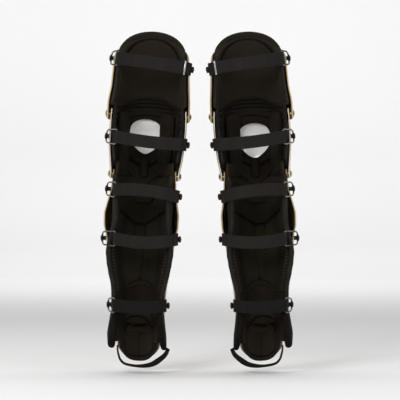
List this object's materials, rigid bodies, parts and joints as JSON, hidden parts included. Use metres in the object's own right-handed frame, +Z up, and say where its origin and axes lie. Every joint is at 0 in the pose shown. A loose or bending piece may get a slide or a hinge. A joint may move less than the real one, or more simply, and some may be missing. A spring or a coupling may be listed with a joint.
{
  "type": "knee guards",
  "caption": "Pair of full-length leg guards: hinged hard thigh, knee, shin and toe shells over padded liners, closed by hooked elastic straps and a stirrup.",
  "frame": {"origin": "on the ground under the wearer, midway between the two guards and on the legs' centre plane", "axes": "+Z up the leg, +X from the left guard to the right guard as seen from behind, +Y towards the front, where the hard shells bulge"},
  "size_m": [0.3986, 0.138, 0.677],
  "materials": {
    "shell": "satin",
    "shell_inner": "gloss",
    "liner_mesh": "matte",
    "ribbed_mesh": "matte",
    "wing_nylon": "satin",
    "binding": "satin",
    "webbing": "satin",
    "knob_plastic": "gloss",
    "wire_metal": "dark nickel",
    "hinge_metal": "satin",
    "piping": "matte"
  },
  "bodies": {
    "left_shin": {"left_shin_shell": "shell", "left_shin_pad": "liner_mesh", "left_ankle_pad": "ribbed_mesh", "left_ankle_wings": "wing_nylon", "left_calf_strap": "webbing", "left_shin_strap": "webbing", "left_ankle_strap": "webbing", "left_shin_strap_knobs": "knob_plastic", "left_shin_strap_rivets": "wire_metal", "left_knee_hinge_rivets": "hinge_metal", "left_stirrup_strap": "webbing"},
    "left_knee": {"left_knee_shell": "shell", "left_knee_pad": "liner_mesh", "left_knee_side_pads": "liner_mesh", "left_knee_strap": "webbing", "left_knee_strap_knobs": "knob_plastic", "left_knee_strap_rivets": "wire_metal", "left_thigh_hinge_rivets": "hinge_metal"},
    "left_thigh": {"left_thigh_shell": "shell", "left_thigh_pad": "liner_mesh", "left_thigh_strap": "webbing", "left_thigh_strap_knobs": "knob_plastic", "left_thigh_strap_rivets": "wire_metal"},
    "left_toe": {"left_toe_shell": "shell", "left_toe_pad": "liner_mesh"},
    "left_thigh_hook": {"left_thigh_hook": "wire_metal"},
    "left_knee_hook": {"left_knee_hook": "wire_metal"},
    "left_calf_hook": {"left_calf_hook": "wire_metal"},
    "left_shin_hook": {"left_shin_hook": "wire_metal"},
    "left_ankle_hook": {"left_ankle_hook": "wire_metal"},
    "right_shin": {"right_shin_shell": "shell", "right_shin_pad": "liner_mesh", "right_ankle_pad": "ribbed_mesh", "right_ankle_wings": "wing_nylon", "right_calf_strap": "webbing", "right_shin_strap": "webbing", "right_ankle_strap": "webbing", "right_shin_strap_knobs": "knob_plastic", "right_shin_strap_rivets": "wire_metal", "right_knee_hinge_rivets": "hinge_metal", "right_stirrup_strap": "webbing"},
    "right_knee": {"right_knee_shell": "shell", "right_knee_pad": "liner_mesh", "right_knee_side_pads": "liner_mesh", "right_knee_strap": "webbing", "right_knee_strap_knobs": "knob_plastic", "right_knee_strap_rivets": "wire_metal", "right_thigh_hinge_rivets": "hinge_metal"},
    "right_thigh": {"right_thigh_shell": "shell", "right_thigh_pad": "liner_mesh", "right_thigh_strap": "webbing", "right_thigh_strap_knobs": "knob_plastic", "right_thigh_strap_rivets": "wire_metal"},
    "right_toe": {"right_toe_shell": "shell", "right_toe_pad": "liner_mesh"},
    "right_thigh_hook": {"right_thigh_hook": "wire_metal"},
    "right_knee_hook": {"right_knee_hook": "wire_metal"},
    "right_calf_hook": {"right_calf_hook": "wire_metal"},
    "right_shin_hook": {"right_shin_hook": "wire_metal"},
    "right_ankle_hook": {"right_ankle_hook": "wire_metal"}
  },
  "joints": [
    {"name": "pair_spread", "type": "slide", "parent": "left_shin", "child": "right_shin", "axis": [1, 0, 0], "range_m": [0, 0.12]},
    {"name": "left_knee_hinge", "type": "hinge", "parent": "left_shin", "child": "left_knee", "pos_m": [-0.10777, 0, 0.39754], "axis": [0.9988, 0, -0.0483], "range_deg": [0, 40]},
    {"name": "left_thigh_hinge", "type": "hinge", "parent": "left_knee", "child": "left_thigh", "pos_m": [-0.10197, 0, 0.5174], "axis": [0.9988, 0, -0.0483], "range_deg": [0, 40]},
    {"name": "left_toe_hinge", "type": "hinge", "parent": "left_shin", "child": "left_toe", "pos_m": [-0.12188, 0.057, 0.10588], "axis": [0.9988, 0, -0.0483], "range_deg": [0, 35]},
    {"name": "left_thigh_hook_swing", "type": "hinge", "parent": "left_thigh", "child": "left_thigh_hook", "pos_m": [-0.16329, -0.035, 0.62958], "axis": [0.1463, 0, 0.9892], "range_deg": [0, 60]},
    {"name": "left_knee_hook_swing", "type": "hinge", "parent": "left_knee", "child": "left_knee_hook", "pos_m": [-0.16603, -0.035, 0.47351], "axis": [0.1138, 0, 0.9935], "range_deg": [0, 60]},
    {"name": "left_calf_hook_swing", "type": "hinge", "parent": "left_shin", "child": "left_calf_hook", "pos_m": [-0.1681, -0.035, 0.36881], "axis": [0.1141, 0, 0.9935], "range_deg": [0, 60]},
    {"name": "left_shin_hook_swing", "type": "hinge", "parent": "left_shin", "child": "left_shin_hook", "pos_m": [-0.16889, -0.035, 0.27179], "axis": [0.0202, 0, 0.9998], "range_deg": [0, 60]},
    {"name": "left_ankle_hook_swing", "type": "hinge", "parent": "left_shin", "child": "left_ankle_hook", "pos_m": [-0.1703, -0.035, 0.13936], "axis": [0.0205, 0, 0.9998], "range_deg": [0, 60]},
    {"name": "right_knee_hinge", "type": "hinge", "parent": "right_shin", "child": "right_knee", "pos_m": [0.10777, 0, 0.39754], "axis": [0.9988, 0, 0.0483], "range_deg": [0, 40]},
    {"name": "right_thigh_hinge", "type": "hinge", "parent": "right_knee", "child": "right_thigh", "pos_m": [0.10197, 0, 0.5174], "axis": [0.9988, 0, 0.0483], "range_deg": [0, 40]},
    {"name": "right_toe_hinge", "type": "hinge", "parent": "right_shin", "child": "right_toe", "pos_m": [0.12188, 0.057, 0.10588], "axis": [0.9988, 0, 0.0483], "range_deg": [0, 35]},
    {"name": "right_thigh_hook_swing", "type": "hinge", "parent": "right_thigh", "child": "right_thigh_hook", "pos_m": [0.16329, -0.035, 0.62958], "axis": [0.1463, 0, -0.9892], "range_deg": [0, 60]},
    {"name": "right_knee_hook_swing", "type": "hinge", "parent": "right_knee", "child": "right_knee_hook", "pos_m": [0.16603, -0.035, 0.47351], "axis": [0.1138, 0, -0.9935], "range_deg": [0, 60]},
    {"name": "right_calf_hook_swing", "type": "hinge", "parent": "right_shin", "child": "right_calf_hook", "pos_m": [0.1681, -0.035, 0.36881], "axis": [0.1141, 0, -0.9935], "range_deg": [0, 60]},
    {"name": "right_shin_hook_swing", "type": "hinge", "parent": "right_shin", "child": "right_shin_hook", "pos_m": [0.16889, -0.035, 0.27179], "axis": [0.0202, 0, -0.9998], "range_deg": [0, 60]},
    {"name": "right_ankle_hook_swing", "type": "hinge", "parent": "right_shin", "child": "right_ankle_hook", "pos_m": [0.1703, -0.035, 0.13936], "axis": [0.0205, 0, -0.9998], "range_deg": [0, 60]}
  ]
}
